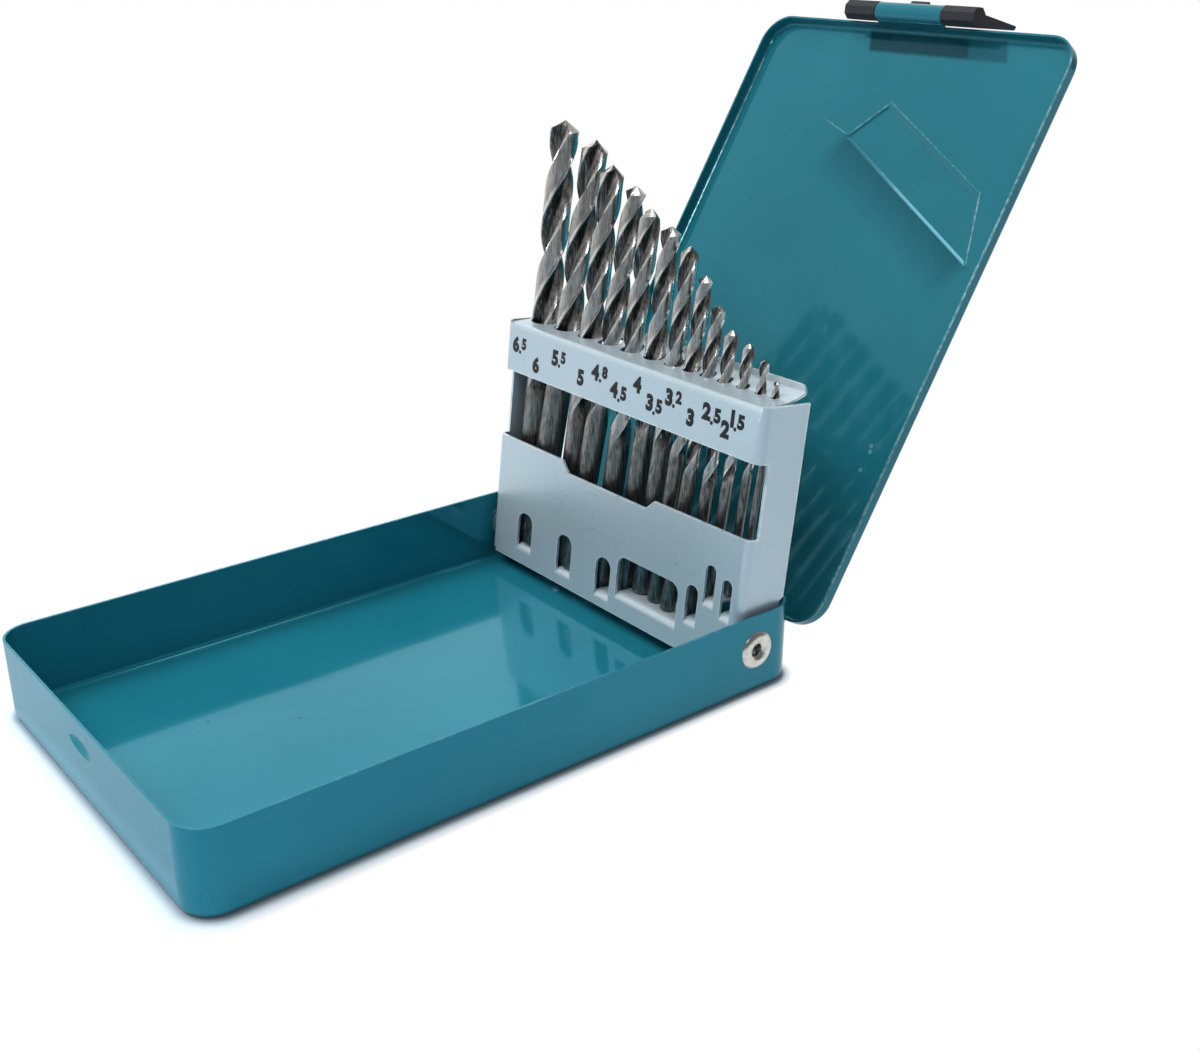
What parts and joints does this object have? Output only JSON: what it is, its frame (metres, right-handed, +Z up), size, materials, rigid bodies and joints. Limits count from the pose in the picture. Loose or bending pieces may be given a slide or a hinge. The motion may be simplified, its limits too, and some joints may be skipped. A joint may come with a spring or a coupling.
{
  "type": "drill bit case",
  "caption": "Open folding sheet-metal case for twist drills: shallow tray, hinged lid with flip-over latch, and a swing-up rack holding graded bits point up in a row.",
  "frame": {"origin": "middle of the tray's flat underside", "axes": "+Z up, +Y towards the hinge at the back, +X towards the small bits' end of the rack; the case stands open"},
  "size_m": [0.0886, 0.2179, 0.1268],
  "materials": {
    "teal_paint": "gloss",
    "grey_paint": "satin, hammered silver grey",
    "nickel": "plated, slightly worn",
    "pin_steel": "drawn",
    "drill_steel": "ground bright",
    "charcoal_plastic": "fine matte"
  },
  "bodies": {
    "tray": {"base_tray": "teal_paint", "hinge_pin": "pin_steel", "rack_rivet_left": "nickel", "rack_rivet_right": "nickel", "rack_washer_left": "nickel", "rack_washer_right": "nickel"},
    "lid": {"lid": "teal_paint", "latch_pin": "pin_steel"},
    "latch": {"latch": "charcoal_plastic"},
    "rack": {"rack": "grey_paint"},
    "bit_6_5": {"drill_bit_6_5": "drill_steel"},
    "bit_6_0": {"drill_bit_6_0": "drill_steel"},
    "bit_5_5": {"drill_bit_5_5": "drill_steel"},
    "bit_5_0": {"drill_bit_5_0": "drill_steel"},
    "bit_4_8": {"drill_bit_4_8": "drill_steel"},
    "bit_4_5": {"drill_bit_4_5": "drill_steel"},
    "bit_4_0": {"drill_bit_4_0": "drill_steel"},
    "bit_3_5": {"drill_bit_3_5": "drill_steel"},
    "bit_3_2": {"drill_bit_3_2": "drill_steel"},
    "bit_3_0": {"drill_bit_3_0": "drill_steel"},
    "bit_2_5": {"drill_bit_2_5": "drill_steel"},
    "bit_2_0": {"drill_bit_2_0": "drill_steel"},
    "bit_1_5": {"drill_bit_1_5": "drill_steel"}
  },
  "joints": [
    {"name": "lid_hinge", "type": "hinge", "parent": "tray", "child": "lid", "pos_m": [0, 0.06578, 0.01184], "axis": [-1, 0, 0], "range_deg": [-121.9, 0]},
    {"name": "rack_hinge", "type": "hinge", "parent": "tray", "child": "rack", "pos_m": [0, 0.05435, 0.0094], "axis": [-1, 0, 0], "range_deg": [-96.57, 0]},
    {"name": "latch_hinge", "type": "hinge", "parent": "lid", "child": "latch", "pos_m": [0, 0.1387, 0.12433], "axis": [-1, 0, 0], "range_deg": [-155, 0]},
    {"name": "bit_6_5_slide", "type": "slide", "parent": "rack", "child": "bit_6_5", "axis": [0, 0.136, 0.9907], "range_m": [0, 0.05735]},
    {"name": "bit_6_0_slide", "type": "slide", "parent": "rack", "child": "bit_6_0", "axis": [0.0136, 0.1857, 0.9825], "range_m": [0, 0.0534]},
    {"name": "bit_5_5_slide", "type": "slide", "parent": "rack", "child": "bit_5_5", "axis": [0, 0.1646, 0.9864], "range_m": [0, 0.05735]},
    {"name": "bit_5_0_slide", "type": "slide", "parent": "rack", "child": "bit_5_0", "axis": [0.0192, 0.194, 0.9808], "range_m": [0, 0.0542]},
    {"name": "bit_4_8_slide", "type": "slide", "parent": "rack", "child": "bit_4_8", "axis": [0, 0.1628, 0.9867], "range_m": [0, 0.05735]},
    {"name": "bit_4_5_slide", "type": "slide", "parent": "rack", "child": "bit_4_5", "axis": [0, 0.1521, 0.9884], "range_m": [0, 0.0546]},
    {"name": "bit_4_0_slide", "type": "slide", "parent": "rack", "child": "bit_4_0", "axis": [0, 0.1615, 0.9869], "range_m": [0, 0.0526]},
    {"name": "bit_3_5_slide", "type": "slide", "parent": "rack", "child": "bit_3_5", "axis": [0, 0.1731, 0.9849], "range_m": [0, 0.0526]},
    {"name": "bit_3_2_slide", "type": "slide", "parent": "rack", "child": "bit_3_2", "axis": [0, 0.1906, 0.9817], "range_m": [0, 0.0526]},
    {"name": "bit_3_0_slide", "type": "slide", "parent": "rack", "child": "bit_3_0", "axis": [0, 0.1614, 0.9869], "range_m": [0, 0.0526]},
    {"name": "bit_2_5_slide", "type": "slide", "parent": "rack", "child": "bit_2_5", "axis": [0, 0.1576, 0.9875], "range_m": [0, 0.0502]},
    {"name": "bit_2_0_slide", "type": "slide", "parent": "rack", "child": "bit_2_0", "axis": [0, 0.1519, 0.9884], "range_m": [0, 0.0443]},
    {"name": "bit_1_5_slide", "type": "slide", "parent": "rack", "child": "bit_1_5", "axis": [0, 0.1752, 0.9845], "range_m": [0, 0.0378]}
  ],
  "couplings": [
    {"joint": "rack_hinge", "follows": "lid_hinge", "ratio": 0.7922}
  ]
}
